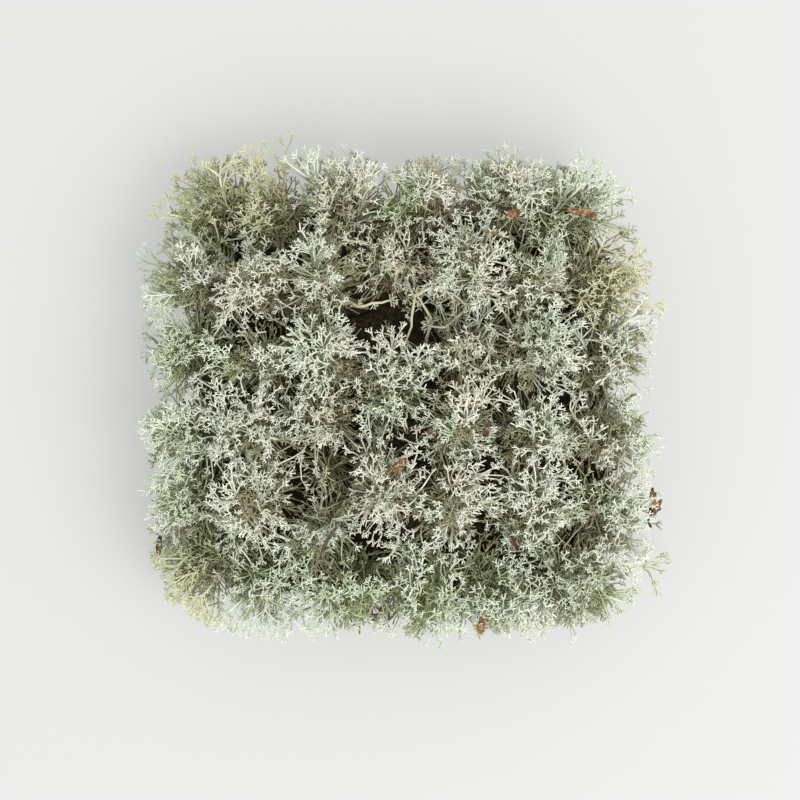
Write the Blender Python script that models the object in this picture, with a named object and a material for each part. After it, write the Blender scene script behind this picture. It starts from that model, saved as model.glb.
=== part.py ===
"""A clump of grey reindeer lichen, lifted from the ground with the mat that it grew on.

The clump is a squarish cushion. Separate lichen tufts stand on one flat mat of dead,
packed bases, and lean apart as they rise, so that the crowns fill a wider square than
the feet. Each tuft is one closed solid of its outer shape, from its foot to its branch
tips. Needles, leaf scraps, bark flakes, bud scales and a twig lie caught in the crowns.

Frame: metres, +Z up. The origin is on the ground under the middle of the clump.
"""

import math

import bmesh
import bpy
from mathutils import Matrix, Vector
from mathutils.bvhtree import BVHTree

MM = 0.001

# The whole clump
CROWN_LEVEL = 38 * MM  # height at which the crowns stand at their places below
FOOT_SPREAD = 0.80  # how wide the tufts stand at the ground, as a share of the crowns
GAP = 0.6 * MM  # between neighbouring tufts
TOUCH = 0.35 * MM  # between a piece and what it rests on

# The mat of dead bases
MAT_HALF_X = 66 * MM
MAT_HALF_Y = 62 * MM
MAT_HEIGHT = 6 * MM
MAT_SQUARENESS = 5.0  # exponent of its superellipse
MAT_POINTS = 40
MAT_EDGE = 2 * MM

# The tufts: crown centre x and y, reach and height, in millimetres, in rows from the
# back of the clump to the front. The wider spaces between four of them are its hollows.
TUFTS = (
    (-62, 62, 14, 28), (-41, 58, 14, 36), (-17, 62, 14, 46), (6, 60, 14, 48),
    (29, 62, 14, 46), (52, 60, 14, 44),
    (-65, 36, 13, 42), (-43, 34, 13, 50), (-22, 38, 13, 54), (-3, 42, 13, 48),
    (18, 38, 13, 54), (40, 36, 13, 52), (62, 36, 14, 38),
    (-66, 13, 13, 45), (-44, 12, 13, 51), (-24, 14, 13, 53), (16, 18, 12, 50),
    (40, 14, 14, 53), (63, 13, 14, 44),
    (-67, -10, 13, 46), (-45, -10, 13, 53), (-26, -7, 12, 50), (-5, 4, 13, 50),
    (15, -6, 13, 53), (39, -9, 13, 51), (65, -11, 14, 46),
    (-68, -33, 13, 43), (-46, -33, 13, 51), (-29, -24, 9, 34), (-28, -42, 13, 50),
    (-6, -25, 12, 52), (15, -30, 13, 52), (39, -33, 13, 50), (65, -36, 14, 44),
    (-64, -53, 12, 38), (-43, -55, 12, 43), (-18, -58, 13, 48), (5, -59, 14, 48),
    (28, -60, 13, 46), (52, -58, 13, 44), (69, -68, 9, 24),
)
SHADED_HEIGHT = 40  # tufts lower than this many millimetres stand in the others' shade
# A tuft's outline from foot to top: share of its height, share of its cell.
TUFT_PROFILE = (
    (0.0, 0.58), (0.25, 0.82), (0.55, 0.97), (0.74, 1.0), (0.89, 0.87), (0.97, 0.62),
    (1.0, 0.36),
)
REACH_SIDES = 10  # straight sides that stand for a tuft's round reach
SHORTEST_SIDE = 1.5 * MM

# What lies caught in the crowns: x, y and heading on the clump, in millimetres and
# degrees, then the piece's own length.
NEEDLES = (
    (68, -1, 45, 8), (27, 49, -20, 7), (-24, 62, 70, 8), (9, -47, 155, 9), (-10, -70, 10, 7),
)
NEEDLE_RADIUS = 0.35 * MM
NEEDLE_BOW = 0.9 * MM
LEAF_SCRAPS = ((54, 56, -12, 9), (-1, -20, 35, 5), (24, -68, 80, 5), (33, 56, 20, 5))
LEAF_WIDTH = 2.2 * MM
LEAF_THICK = 0.4 * MM
LEAF_CURL = 0.7 * MM
LEAF_WIDTHS = (0.3, 0.9, 1, 0.7, 0.3)  # shares of its width, from stalk to tip
BARK_FLAKES = ((25, -10, 70, 4), (9, -10, 15, 4), (34, -44, 120, 5), (-73, -44, 80, 5))
BARK_WIDTH = 2.2 * MM
BARK_THICK = 0.8 * MM
BARK_CURL = 0.2 * MM
BARK_WIDTHS = (0.5, 1, 0.8, 0.6)
BUD_SCALES = ((78, 21, -62, 5), (-43, -68, 20, 5))
BUD_SCALE_WIDTH = 1.6 * MM
BUD_SCALE_THICK = 0.6 * MM
BUD_SCALE_CURL = 0.3 * MM
BUD_SCALE_WIDTHS = (0.5, 1, 0.7, 0.2)
TWIG = (-22, -43, 60, 10)
TWIG_RADIUS = 0.5 * MM
TWIG_BOW = 0.4 * MM
LEAF_STALK = (81, -36, -95, 11)
LEAF_STALK_RADIUS = 0.6 * MM
ROD_STATIONS = 6  # cross-sections along a needle, a twig or a stalk
HELD_HEIGHT = 30 * MM  # of a piece that hangs on the clump's outer side
LEAN_STEP = 0.1 * MM

MAT_BROWN = (0.055, 0.040, 0.026)
LICHEN_GREY = (0.56, 0.58, 0.49)
LICHEN_LOW = (0.40, 0.41, 0.27)
LITTER_BROWN = (0.30, 0.12, 0.035)
BARK_BROWN = (0.14, 0.065, 0.03)


def clear_scene():
    for old in list(bpy.data.objects):
        bpy.data.objects.remove(old)


def material(name, colour, roughness):
    made = bpy.data.materials.new(name)
    made.use_nodes = True
    shader = made.node_tree.nodes["Principled BSDF"]
    shader.inputs["Base Color"].default_value = (*colour, 1)
    shader.inputs["Roughness"].default_value = roughness
    shader.inputs["Metallic"].default_value = 0
    return made


def place(name, bm, finish):
    """One named object from a bmesh whose points are already where the piece is."""
    bmesh.ops.recalc_face_normals(bm, faces=bm.faces)
    mesh = bpy.data.meshes.new(name)
    bm.to_mesh(mesh)
    bm.free()
    mesh.materials.append(finish)
    made = bpy.data.objects.new(name, mesh)
    bpy.context.scene.collection.objects.link(made)
    return made


def stack(rings):
    """A closed bmesh through rings of equally many points, with flat ends."""
    bm = bmesh.new()
    loops = [[bm.verts.new(point) for point in ring] for ring in rings]
    bm.faces.new(loops[0])
    bm.faces.new(loops[-1])
    for lower, upper in zip(loops, loops[1:]):
        for k in range(len(lower)):
            j = (k + 1) % len(lower)
            bm.faces.new((lower[k], lower[j], upper[j], upper[k]))
    return bm


# The mat

def mat_outline(inset):
    """A rounded square: a superellipse, drawn in by inset."""
    power = 2 / MAT_SQUARENESS
    outline = []
    for k in range(MAT_POINTS):
        turn = math.tau * k / MAT_POINTS
        x = math.copysign(abs(math.cos(turn)) ** power, math.cos(turn))
        y = math.copysign(abs(math.sin(turn)) ** power, math.sin(turn))
        outline.append((x * (MAT_HALF_X - inset), y * (MAT_HALF_Y - inset)))
    return outline


def make_mat(finish):
    levels = ((0, MAT_EDGE), (MAT_EDGE, 0), (MAT_HEIGHT - MAT_EDGE, 0), (MAT_HEIGHT, MAT_EDGE))
    rings = [[(x, y, z) for x, y in mat_outline(inset)] for z, inset in levels]
    return place("dead_base_mat", stack(rings), finish)


# The tufts

def cut_by_neighbour(cell, towards, distance):
    """The part of a convex cell that lies within distance of its centre along towards."""
    kept = []
    for k, point in enumerate(cell):
        following = cell[(k + 1) % len(cell)]
        here = distance - point.dot(towards)
        there = distance - following.dot(towards)
        if here >= 0:
            kept.append(point)
        if here * there < 0:
            kept.append(point.lerp(following, here / (here - there)))
    return kept


def tuft_cell(number):
    """The plan of one crown about its centre: its round reach, cut flat where it meets a
    neighbour, further out on the side of the tuft with the shorter reach."""
    x, y, reach, _ = TUFTS[number]
    cell = [
        Vector((math.cos(turn), math.sin(turn))) * reach * MM
        for turn in (math.tau * (k + number / 3) / REACH_SIDES for k in range(REACH_SIDES))
    ]
    for other, (other_x, other_y, other_reach, _) in enumerate(TUFTS):
        apart = Vector((other_x - x, other_y - y)) * MM
        if other != number and apart.length < (reach + other_reach) * MM + GAP:
            share = 0.5 + (reach**2 - other_reach**2) * MM**2 / (2 * apart.length**2)
            cell = cut_by_neighbour(cell, apart.normalized(), share * apart.length - GAP / 2)
    return [p for k, p in enumerate(cell) if (p - cell[k - 1]).length > SHORTEST_SIDE]


def widening(z):
    """How far the tufts have leaned apart at a height."""
    return FOOT_SPREAD + (1 - FOOT_SPREAD) * z / CROWN_LEVEL


def make_tuft(number, finish):
    x, y, _, height = TUFTS[number]
    crown = Vector((x, y)) * MM
    cell = tuft_cell(number)
    foot = MAT_HEIGHT + TOUCH
    rings = []
    for up, share in TUFT_PROFILE:
        z = foot + up * (height * MM - foot)
        rings.append([((crown + point * share) * widening(z)).to_3d() for point in cell])
        for point in rings[-1]:
            point.z = z
    return place(f"lichen_tuft_{number + 1:02d}", stack(rings), finish)


# The litter

def tree_of(tufts):
    """A tree of all the tufts' faces, to set the litter down on."""
    points, faces = [], []
    for tuft in tufts:
        first = len(points)
        points += [vertex.co.copy() for vertex in tuft.data.vertices]
        faces += [[first + k for k in face.vertices] for face in tuft.data.polygons]
    return BVHTree.FromPolygons(points, faces)


def below(crowns, point):
    """The crown's surface under a point, and its normal, or None twice."""
    high = Vector((point[0], point[1], 1))
    return crowns.ray_cast(high, (0, 0, -1))[:2]


def points_on(bm):
    middles = [edge.verts[0].co.lerp(edge.verts[1].co, 0.5) for edge in bm.edges]
    return [vertex.co.copy() for vertex in bm.verts] + middles


def set_down(bm, crowns):
    """Lowers a piece onto the crowns until its first point touches, if any is above one."""
    hits = [(below(crowns, point)[0], point) for point in points_on(bm)]
    lifts = [hit.z - point.z for hit, point in hits if hit]
    if lifts:
        bm.transform(Matrix.Translation((0, 0, max(lifts) + TOUCH)))
    return bool(lifts)


def hang_outside(bm, crowns):
    """Holds a piece beside the clump, and moves it inwards until it touches."""
    bm.transform(Matrix.Translation((0, 0, HELD_HEIGHT)))
    points = points_on(bm)
    middle = sum(points, Vector()) / len(points)
    inwards = Vector((-middle.x, -middle.y, 0)).normalized() * LEAN_STEP
    while min(crowns.find_nearest(point)[3] for point in points) > TOUCH + LEAN_STEP:
        points = [point + inwards for point in points]
        bm.transform(Matrix.Translation(inwards))


def settle(name, bm, row, crowns, finish):
    """Turns a piece made about the origin, lays it half as steep as the crown under it,
    and brings it to rest there or on the clump's outer side."""
    x, y, heading, _ = row
    middle = Vector((x, y, 0)) * MM
    up = Vector((0, 0, 1))
    normal = below(crowns, middle)[1] or up
    sloped = up.rotation_difference(normal + up).to_matrix().to_4x4()
    turned = Matrix.Rotation(math.radians(heading), 4, "Z")
    bm.transform(Matrix.Translation(middle) @ sloped @ turned)
    if not set_down(bm, crowns):
        hang_outside(bm, crowns)
    place(name, bm, finish)


def rod(length, radius, bow, sides, tip):
    """A bowed rod along X, whose ends taper to tip times its radius."""
    rings = []
    for k in range(ROD_STATIONS):
        along = k / (ROD_STATIONS - 1)
        thick = radius * (1 if 0 < k < ROD_STATIONS - 1 else tip)
        x = (along - 0.5) * length
        bend = bow * (1 - (2 * along - 1) ** 2)
        turns = [math.tau * side / sides for side in range(sides)]
        rings.append([(x, bend + thick * math.cos(t), thick * math.sin(t)) for t in turns])
    return stack(rings)


def blade(length, width, thick, curl, widths):
    """A thin scrap along X, as wide as widths say from end to end, its edges curled up."""
    rings = []
    for k, share in enumerate(widths):
        x = (k / (len(widths) - 1) - 0.5) * length
        half = share * width / 2
        edge = curl * share
        rings.append([
            (x, -half, edge), (x, 0, 0), (x, half, edge),
            (x, half, edge + thick), (x, 0, thick), (x, -half, edge + thick),
        ])
    return stack(rings)


def make_litter(crowns, leaf_brown, bark_brown):
    for number, row in enumerate(NEEDLES, 1):
        needle = rod(row[3] * MM, NEEDLE_RADIUS, NEEDLE_BOW, 5, 0.4)
        settle(f"needle_{number}", needle, row, crowns, leaf_brown)
    for number, row in enumerate(LEAF_SCRAPS, 1):
        leaf = blade(row[3] * MM, LEAF_WIDTH, LEAF_THICK, LEAF_CURL, LEAF_WIDTHS)
        settle(f"leaf_scrap_{number}", leaf, row, crowns, leaf_brown)
    for number, row in enumerate(BARK_FLAKES, 1):
        flake = blade(row[3] * MM, BARK_WIDTH, BARK_THICK, BARK_CURL, BARK_WIDTHS)
        settle(f"bark_flake_{number}", flake, row, crowns, bark_brown)
    for number, row in enumerate(BUD_SCALES, 1):
        scale = blade(
            row[3] * MM, BUD_SCALE_WIDTH, BUD_SCALE_THICK, BUD_SCALE_CURL, BUD_SCALE_WIDTHS
        )
        settle(f"bud_scale_{number}", scale, row, crowns, bark_brown)
    twig = rod(TWIG[3] * MM, TWIG_RADIUS, TWIG_BOW, 6, 0.8)
    settle("twig", twig, TWIG, crowns, bark_brown)
    stalk = rod(LEAF_STALK[3] * MM, LEAF_STALK_RADIUS, -NEEDLE_BOW, 6, 0.6)
    settle("leaf_stalk", stalk, LEAF_STALK, crowns, leaf_brown)


def centre_on_origin():
    """Moves every piece so that the whole clump's box is centred over the origin."""
    pieces = [piece.data for piece in bpy.data.objects]
    points = [vertex.co for mesh in pieces for vertex in mesh.vertices]
    lowest_x, highest_x = min(p.x for p in points), max(p.x for p in points)
    lowest_y, highest_y = min(p.y for p in points), max(p.y for p in points)
    offset = Vector((-(lowest_x + highest_x) / 2, -(lowest_y + highest_y) / 2, 0))
    for mesh in pieces:
        mesh.transform(Matrix.Translation(offset))


def main():
    clear_scene()
    lichen = material("lichen", LICHEN_GREY, 0.9)
    shaded_lichen = material("lichen_low", LICHEN_LOW, 0.9)

    make_mat(material("dead_base", MAT_BROWN, 0.95))
    tufts = []
    for number, row in enumerate(TUFTS):
        finish = shaded_lichen if row[3] < SHADED_HEIGHT else lichen
        tufts.append(make_tuft(number, finish))
    leaf_brown = material("dry_leaf", LITTER_BROWN, 0.75)
    bark_brown = material("bark", BARK_BROWN, 0.85)
    make_litter(tree_of(tufts), leaf_brown, bark_brown)
    centre_on_origin()


main()
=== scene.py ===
import math

import bmesh
import bpy
import numpy as np
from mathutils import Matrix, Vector, noise


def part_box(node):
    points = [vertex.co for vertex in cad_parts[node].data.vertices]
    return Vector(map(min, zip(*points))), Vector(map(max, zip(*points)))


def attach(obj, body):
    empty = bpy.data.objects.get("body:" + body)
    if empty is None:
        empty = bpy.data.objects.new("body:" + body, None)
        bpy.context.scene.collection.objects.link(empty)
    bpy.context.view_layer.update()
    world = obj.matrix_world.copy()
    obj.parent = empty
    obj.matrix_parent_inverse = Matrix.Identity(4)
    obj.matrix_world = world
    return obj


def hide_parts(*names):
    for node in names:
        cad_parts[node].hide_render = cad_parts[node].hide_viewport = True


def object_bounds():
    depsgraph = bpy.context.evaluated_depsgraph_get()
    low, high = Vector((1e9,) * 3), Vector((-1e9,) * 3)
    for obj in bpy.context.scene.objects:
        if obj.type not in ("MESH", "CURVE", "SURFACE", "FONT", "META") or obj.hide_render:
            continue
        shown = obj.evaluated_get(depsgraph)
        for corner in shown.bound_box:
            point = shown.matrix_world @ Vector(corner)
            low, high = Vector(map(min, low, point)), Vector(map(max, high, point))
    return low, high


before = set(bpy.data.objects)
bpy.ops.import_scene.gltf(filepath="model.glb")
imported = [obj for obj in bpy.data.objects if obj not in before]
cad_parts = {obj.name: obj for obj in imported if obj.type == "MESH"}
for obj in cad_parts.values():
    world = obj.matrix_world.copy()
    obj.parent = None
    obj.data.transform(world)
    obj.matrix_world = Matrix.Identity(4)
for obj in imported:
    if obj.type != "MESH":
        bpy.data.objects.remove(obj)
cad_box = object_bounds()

# The mat: the bases of the lichens, dead, decayed and pressed into a brown-black felt that
# holds every tuft's foot. A lumpy slab is the humus, and dead stems lie all over it, flat
# along its underside, ragged round its rim and loose where it shows below the near edge.

MM = 0.001
noise.seed_set(7)  # so that every bend and swirl is the same at every run
UP = np.array((0.0, 0.0, 1.0))
MERGE = 0.001 * MM
SLAB_GRAIN = 2.2 * MM
SLAB_CLEAR = 0.45 * MM  # between the humus and the ground, where the lowest stems lie
SLAB_LUMPS = 1.1 * MM
SLAB_LUMP_SCALE, SLAB_HOLLOW_SCALE = 160, 420  # how many times a metre they come back
# each layer of stems that lie on the mat: how many, the shares of the way to the rim that
# they lie between, their lowest and highest place and most lift in mm, and palest tint
MAT_LAYERS = {"underside": (760, 0.0, 0.97, 0.1, 0.75, 0.0, 0.9),
              "rim": (640, 0.92, 1.0, 0.6, 7.2, 2.5, 0.9),
              "top": (250, 0.3, 1.0, 6.2, 7.6, 2.0, 0.5)}
RISING_STEMS = 620  # the dead lower stems that stand round the mat's rim
RISING_SHARES = (0.76, 0.95)  # of the way to the rim
LOOSE_STEMS = 90  # that hang out below the near edge, in a box in mm
LOOSE_BOX = ((-22, 40), (-69, -65), (4, 15))
DEAD_STEM_RADII = (0.42 * MM, 0.26 * MM)
DEAD_TINTS = ((0.0, (0.030, 0.021, 0.013)), (0.35, (0.085, 0.055, 0.030)),
              (0.70, (0.15, 0.10, 0.055)), (0.88, (0.20, 0.16, 0.10)), (1.0, (0.26, 0.22, 0.13)))
DEAD_HEART = (0.02, 0.015, 0.01)
DEAD_AGES = (0.1, 0.2, 0.5, 1.2)
MAP_STEP = 0.006  # how far a wall's corners stand apart on the colour map
TUBE_SIDES = (6, 5, 4, 3)  # of stems, limbs, branches and tips
SPRIG_POINT = 0  # stands in the place of a number of sides where a sprig grows


def unit(vectors):
    """The vectors, made one unit long."""
    return vectors / np.linalg.norm(vectors, axis=-1, keepdims=True)


def merged_copy(node):
    """A CAD solid's mesh with its loose triangles joined at their corners."""
    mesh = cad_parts[node].data.copy()
    bm = bmesh.new()
    bm.from_mesh(mesh)
    bmesh.ops.remove_doubles(bm, verts=bm.verts, dist=MERGE)
    bm.to_mesh(mesh)
    bm.free()
    mesh.materials.clear()
    return mesh


def evaluated_as(name, mesh, set_modifier):
    """The mesh as one modifier leaves it. set_modifier adds it to a passing object."""
    passing = bpy.data.objects.new(name + "_raw", mesh)
    bpy.context.scene.collection.objects.link(passing)
    set_modifier(passing)
    bpy.context.view_layer.update()
    evaluated = passing.evaluated_get(bpy.context.evaluated_depsgraph_get())
    plain = bpy.data.meshes.new_from_object(evaluated)
    bpy.data.objects.remove(passing)
    bpy.data.meshes.remove(mesh)
    plain.name = name
    return plain


def put_in_place(name, mesh, node):
    """The finished mesh as a piece of the clump that stands for a CAD node."""
    piece = bpy.data.objects.new(name, mesh)
    bpy.context.scene.collection.objects.link(piece)
    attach(piece, "root")
    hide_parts(node)


def paths_mesh(name, paths, sprigs=()):
    """A mesh of loose paths and sprig points. A path has points, radii, ages, a tint and
    a number of sides, and a sprig point has a place, a heading, an age, a tint, a size."""
    points, edges, radii, ages, tints, sides = [], [], [], [], [], []
    for path in paths:
        first = len(points)
        points.extend(path["points"])
        edges.extend((first + k, first + k + 1) for k in range(len(path["points"]) - 1))
        radii.extend(path["radii"])
        ages.extend(path["ages"])
        tints.extend([path["tint"]] * len(path["points"]))
        sides.extend([path["sides"]] * len(path["points"]))
    on_paths = len(points)
    points.extend(sprig["place"] for sprig in sprigs)
    headings = [(0, 0, 1)] * on_paths + [sprig["heading"] for sprig in sprigs]
    sizes = [0.0] * on_paths + [sprig["size"] for sprig in sprigs]
    sprig_ages = [0.0] * on_paths + [sprig["age"] for sprig in sprigs]
    radii.extend([0.0] * len(sprigs))
    ages.extend([0.0] * len(sprigs))
    tints.extend(sprig["tint"] for sprig in sprigs)
    sides.extend([SPRIG_POINT] * len(sprigs))
    mesh = bpy.data.meshes.new(name)
    mesh.from_pydata([tuple(point) for point in points], edges, [])
    for label, values in (("thickness", radii), ("age", ages), ("size", sizes),
                          ("sprig_age", sprig_ages), ("tint", tints)):
        mesh.attributes.new(label, "FLOAT", "POINT").data.foreach_set("value", values)
    mesh.attributes.new("sides", "INT", "POINT").data.foreach_set("value", sides)
    flat = np.array(headings, np.float32).ravel()
    mesh.attributes.new("heading", "FLOAT_VECTOR", "POINT").data.foreach_set("vector", flat)
    return mesh


def add_node(tree, kind, inputs=(), **settings):
    """A node with its settings made, and its inputs set or joined to other sockets."""
    node = tree.nodes.new(kind)
    for label, value in settings.items():
        setattr(node, label, value)
    for label, value in dict(inputs).items():
        if isinstance(value, bpy.types.NodeSocket):
            tree.links.new(value, node.inputs[label])
        else:
            node.inputs[label].default_value = value
    return node


def named(tree, label, kind="FLOAT"):
    """The values that a mesh of paths carries under a name."""
    node = add_node(tree, "GeometryNodeInputNamedAttribute", {"Name": label}, data_type=kind)
    return node.outputs["Attribute"]


def walls(tree, skeleton, sides):
    """Round walls with closed ends along the paths that ask for this many sides."""
    wanted = add_node(tree, "FunctionNodeCompare", {2: named(tree, "sides", "INT"), 3: sides},
                      data_type="INT", operation="EQUAL")
    chosen = add_node(tree, "GeometryNodeSeparateGeometry",
                      {"Geometry": skeleton, "Selection": wanted.outputs[0]})
    curve = add_node(tree, "GeometryNodeMeshToCurve", {"Mesh": chosen.outputs["Selection"]})
    ring = add_node(tree, "GeometryNodeCurvePrimitiveCircle",
                    {"Resolution": sides, "Radius": 1.0}, mode="RADIUS")
    around = add_node(tree, "GeometryNodeSplineParameter").outputs["Factor"]
    marked = add_node(tree, "GeometryNodeStoreNamedAttribute",
                      {"Geometry": ring.outputs["Curve"], "Name": "around", "Value": around},
                      data_type="FLOAT", domain="POINT")
    made = add_node(tree, "GeometryNodeCurveToMesh",
                    {"Curve": curve.outputs["Curve"], "Fill Caps": True,
                     "Profile Curve": marked.outputs["Geometry"],
                     "Scale": named(tree, "thickness")})
    return made.outputs["Mesh"]


def set_sprigs(tree, skeleton, kinds, size, seed):
    """A sprig of a chance kind, turned by chance about its heading, on each sprig point."""
    wanted = add_node(tree, "FunctionNodeCompare",
                      {2: named(tree, "sides", "INT"), 3: SPRIG_POINT},
                      data_type="INT", operation="EQUAL")
    points = add_node(tree, "GeometryNodeMeshToPoints",
                      {"Mesh": skeleton, "Selection": wanted.outputs[0]})
    stock = add_node(tree, "GeometryNodeCollectionInfo",
                     {"Collection": kinds, "Separate Children": True, "Reset Children": True})
    kind = add_node(tree, "FunctionNodeRandomValue", {4: 0, 5: 99, "Seed": seed},
                    data_type="INT")
    roll = add_node(tree, "FunctionNodeRandomValue",
                    {2: 0.0, 3: math.tau, "Seed": seed}, data_type="FLOAT")
    rolled = add_node(tree, "FunctionNodeAxisAngleToRotation",
                      {"Axis": (0, 0, 1), "Angle": roll.outputs[1]})
    aimed = add_node(tree, "FunctionNodeAlignRotationToVector",
                     {"Vector": named(tree, "heading", "FLOAT_VECTOR")}, axis="Z")
    turned = add_node(tree, "FunctionNodeRotateRotation",
                      {"Rotation": aimed.outputs[0], "Rotate By": rolled.outputs[0]},
                      rotation_space="LOCAL")
    scale = add_node(tree, "ShaderNodeMath", {0: named(tree, "size"), 1: size},
                     operation="MULTIPLY")
    placed = add_node(tree, "GeometryNodeInstanceOnPoints",
                      {"Points": points.outputs["Points"], "Instance": stock.outputs[0],
                       "Pick Instance": True, "Instance Index": kind.outputs[2],
                       "Rotation": turned.outputs[0], "Scale": scale.outputs[0]})
    return placed.outputs["Instances"]


def colour_place(tree, lichen):
    """Every corner's place on the colour map: its age across, which on the tufts also carries painted
    shade by depth, and its tint up, and a small step around the branch so that no wall is without
    width there."""
    age = add_node(tree, "ShaderNodeMath", {0: named(tree, "age"), 1: named(tree, "sprig_age")},
                   operation="ADD")
    turn = add_node(tree, "ShaderNodeMath", {0: named(tree, "around"), 1: math.tau},
                    operation="MULTIPLY")
    across = add_node(tree, "ShaderNodeMath", {0: turn.outputs[0]}, operation="COSINE")
    up = add_node(tree, "ShaderNodeMath", {0: turn.outputs[0]}, operation="SINE")
    u = add_node(tree, "ShaderNodeMath", {0: across.outputs[0], 1: MAP_STEP, 2: age.outputs[0]},
                 operation="MULTIPLY_ADD")
    v = add_node(tree, "ShaderNodeMath", {0: up.outputs[0], 1: MAP_STEP, 2: named(tree, "tint")},
                 operation="MULTIPLY_ADD")
    place = add_node(tree, "ShaderNodeCombineXYZ", {"X": u.outputs[0], "Y": v.outputs[0]})
    mapped = add_node(tree, "GeometryNodeStoreNamedAttribute",
                      {"Geometry": lichen, "Name": "OFBake", "Value": place.outputs[0]},
                      data_type="FLOAT2", domain="CORNER")
    return mapped.outputs["Geometry"]


def branching_tree():
    """Geometry Nodes: paths and sprig points in, finished branches out."""
    tree = bpy.data.node_groups.new("branching", "GeometryNodeTree")
    for label, kind in (("Geometry", "NodeSocketGeometry"), ("Sprig kinds", "NodeSocketCollection"),
                        ("Sprig size", "NodeSocketFloat"), ("Seed", "NodeSocketInt"),
                        ("Finish", "NodeSocketMaterial")):
        tree.interface.new_socket(label, in_out="INPUT", socket_type=kind)
    tree.interface.new_socket("Geometry", in_out="OUTPUT", socket_type="NodeSocketGeometry")
    given = tree.nodes.new("NodeGroupInput").outputs
    joined = tree.nodes.new("GeometryNodeJoinGeometry")
    for sides in TUBE_SIDES:
        tree.links.new(walls(tree, given["Geometry"], sides), joined.inputs[0])
    sprigs = set_sprigs(tree, given["Geometry"], given["Sprig kinds"], given["Sprig size"],
                        given["Seed"])
    tree.links.new(sprigs, joined.inputs[0])
    real = add_node(tree, "GeometryNodeRealizeInstances", {"Geometry": joined.outputs[0]})
    mapped = colour_place(tree, real.outputs[0])
    smooth = add_node(tree, "GeometryNodeSetShadeSmooth", {"Geometry": mapped})
    finished = add_node(tree, "GeometryNodeSetMaterial",
                        {"Geometry": smooth.outputs[0], "Material": given["Finish"]})
    out = tree.nodes.new("NodeGroupOutput")
    tree.links.new(finished.outputs[0], out.inputs[0])
    return tree


BRANCHING = branching_tree()


def made_by_nodes(name, mesh, **inputs):
    """The branching tree's result over a mesh of paths, as a plain mesh."""
    sockets = {item.name: item.identifier for item in BRANCHING.interface.items_tree
               if item.in_out == "INPUT"}

    def set_modifier(passing):
        """Add the tree, with its inputs set by their sockets' identifiers."""
        modifier = passing.modifiers.new("branching", "NODES")
        modifier.node_group = BRANCHING
        for label, value in inputs.items():
            modifier[sockets[label.replace("_", " ")]] = value

    return evaluated_as(name, mesh, set_modifier)


def ramp(tree, factor, stops):
    """A colour read from stops, each a place and its colour."""
    node = add_node(tree, "ShaderNodeValToRGB", {"Fac": factor})
    elements = node.color_ramp.elements
    elements[0].position, elements[0].color = stops[0][0], (*stops[0][1], 1)
    elements[1].position, elements[1].color = stops[-1][0], (*stops[-1][1], 1)
    for place, colour in stops[1:-1]:
        elements.new(place).color = (*colour, 1)
    return node.outputs["Color"]


def share_between(tree, value, low, high):
    """0 below low to 1 above high, softly."""
    node = add_node(tree, "ShaderNodeMapRange",
                    {"Value": value, "From Min": low, "From Max": high},
                    interpolation_type="SMOOTHSTEP")
    return node.outputs["Result"]


def blended(tree, share, first, second):
    """The first colour turned into the second by a share."""
    node = add_node(tree, "ShaderNodeMix", {"Factor": share}, data_type="RGBA")
    for socket, value in ((node.inputs[6], first), (node.inputs[7], second)):
        if isinstance(value, bpy.types.NodeSocket):
            tree.links.new(value, socket)
        else:
            socket.default_value = (*value, 1)
    return node.outputs[2]


def grain(tree, scale, detail=2.0):
    """A noise over the piece's own place in the clump."""
    node = add_node(tree, "ShaderNodeTexNoise",
                    {"Vector": add_node(tree, "ShaderNodeTexCoord").outputs["Object"],
                     "Scale": scale, "Detail": detail, "Roughness": 0.6})
    return node.outputs["Fac"]


def mottled(tree, colour, value, darkest, lightest):
    """The colour, darker and lighter by a noise value."""
    factor = add_node(tree, "ShaderNodeMapRange",
                      {"Value": value, "From Min": 0.3, "From Max": 0.7,
                       "To Min": darkest, "To Max": lightest})
    final = add_node(tree, "ShaderNodeVectorMath", {0: colour, 1: factor.outputs["Result"]},
                     operation="MULTIPLY")
    return final.outputs[0]


def finish_of(name, roughness, specular):
    """A new finish: its node tree, its shader, and the material itself."""
    made = bpy.data.materials.new(name)
    made.use_nodes = True
    shader = made.node_tree.nodes["Principled BSDF"]
    shader.inputs["Roughness"].default_value = roughness
    shader.inputs["Specular IOR Level"].default_value = specular
    return made.node_tree, shader, made


def roughened(tree, shader, height, distance, strength):
    """The shader's surface raised and pitted by a height."""
    bump = add_node(tree, "ShaderNodeBump",
                    {"Height": height, "Distance": distance, "Strength": strength})
    tree.links.new(bump.outputs["Normal"], shader.inputs["Normal"])


def branch_finish(name, tips, live, old, dead, ages):
    """A felted branch: colour by its age and tint, finely mottled and pitted. On the tufts the age
    also carries painted shade, darker with depth. ages are where the tip's colour ends, where the old
    colour starts and is full, and the dead's."""
    tree, shader, made = finish_of(name, 0.9, 0.2)
    place = add_node(tree, "ShaderNodeUVMap", uv_map="OFBake").outputs[0]
    split = add_node(tree, "ShaderNodeSeparateXYZ", {0: place})
    age, tint = split.outputs["X"], split.outputs["Y"]
    tip_ends, old_starts, old_full, dead_full = ages
    living = blended(tree, share_between(tree, age, 0.0, tip_ends),
                     ramp(tree, tint, tips), ramp(tree, tint, live))
    aged = blended(tree, share_between(tree, age, old_starts, old_full), living,
                   ramp(tree, tint, old))
    colour = blended(tree, share_between(tree, age, old_full, dead_full), aged, dead)
    tree.links.new(mottled(tree, colour, grain(tree, 900.0), 0.86, 1.12),
                   shader.inputs["Base Color"])
    roughened(tree, shader, grain(tree, 5000.0), 0.05 * MM, 0.5)
    return made


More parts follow.
